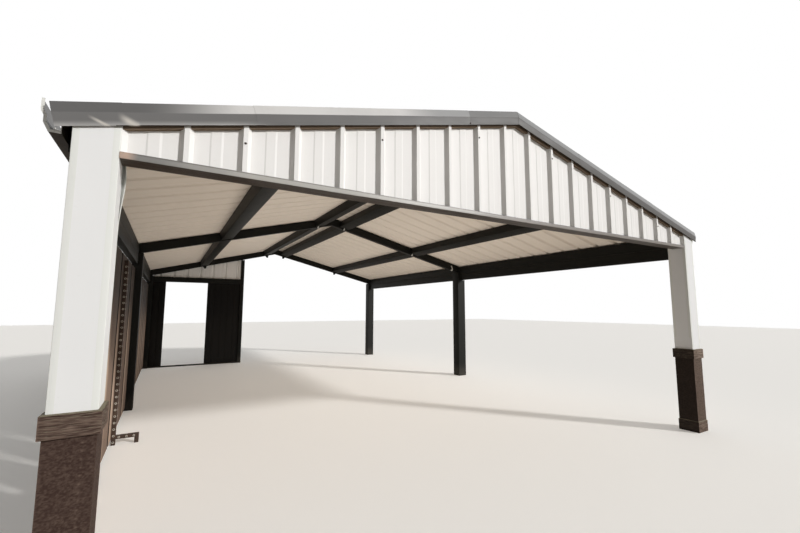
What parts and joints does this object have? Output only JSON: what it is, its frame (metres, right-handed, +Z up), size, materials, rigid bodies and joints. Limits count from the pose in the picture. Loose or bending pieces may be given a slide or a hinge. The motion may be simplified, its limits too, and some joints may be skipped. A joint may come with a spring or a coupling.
{
  "type": "carport",
  "caption": "Gable-roofed steel carport on square posts, with a ribbed front gable, eave gutters, a boarded left side screen and a boarded rear corner with a doorway.",
  "frame": {"origin": "middle of the bounding box at floor level", "axes": "+X to the right along the front gable, +Y from the front gable to the back, +Z up"},
  "size_m": [6.4186, 9.6068, 3.2345],
  "materials": {
    "base_wood": "dark brown coarse grained wrap",
    "cap_sheet": "satin white coil coating",
    "column_white": "satin white cladding",
    "frame_black": "satin black painted steel tube",
    "gutter_white": "gloss white coating",
    "header_bronze": "bronze coating, scuffed at one end",
    "rake_trim": "semi-gloss bronze grey coating, weathered",
    "rear_boards": "near-black stained boards",
    "screen_boards": "dark brown stained boards",
    "upright_steel": "dark painted steel tube",
    "white_sheet": "satin white coil coating on ribbed steel sheet"
  },
  "bodies": {
    "root": {"base_front_left": "base_wood", "base_front_right": "base_wood", "beam_lower_left": "frame_black", "beam_lower_right": "frame_black", "beam_upper_left": "frame_black", "beam_upper_right": "frame_black", "column_front_left": "column_white", "column_front_right": "column_white", "gable_front": "white_sheet", "gutter_left": "gutter_white", "gutter_right": "gutter_white", "header_beam": "frame_black", "header_trim": "header_bronze", "infill_rear": "white_sheet", "panel_rear_left": "rear_boards", "panel_rear_right": "rear_boards", "post_inner": "frame_black", "post_mid_left": "frame_black", "post_mid_right": "frame_black", "post_rear_left": "frame_black", "post_rear_right": "frame_black", "purlin_mid_front_left": "frame_black", "purlin_mid_front_right": "frame_black", "purlin_mid_rear_left": "frame_black", "purlin_mid_rear_right": "frame_black", "purlin_ridge_front_left": "frame_black", "purlin_ridge_front_right": "frame_black", "purlin_ridge_rear_left": "frame_black", "purlin_ridge_rear_right": "frame_black", "rafter_front_left": "frame_black", "rafter_front_right": "frame_black", "rafter_mid_left": "frame_black", "rafter_mid_right": "frame_black", "rafter_rear_left": "frame_black", "rafter_rear_right": "frame_black", "rake_front_left": "rake_trim", "rake_front_right": "rake_trim", "rake_rear_left": "rake_trim", "rake_rear_right": "rake_trim", "rear_header": "rear_boards", "rear_sill": "rear_boards", "ridge_cap": "cap_sheet", "roof_left": "white_sheet", "roof_right": "white_sheet", "screen_front": "screen_boards", "screen_rear": "screen_boards", "upright_foot": "upright_steel"}
  },
  "joints": []
}
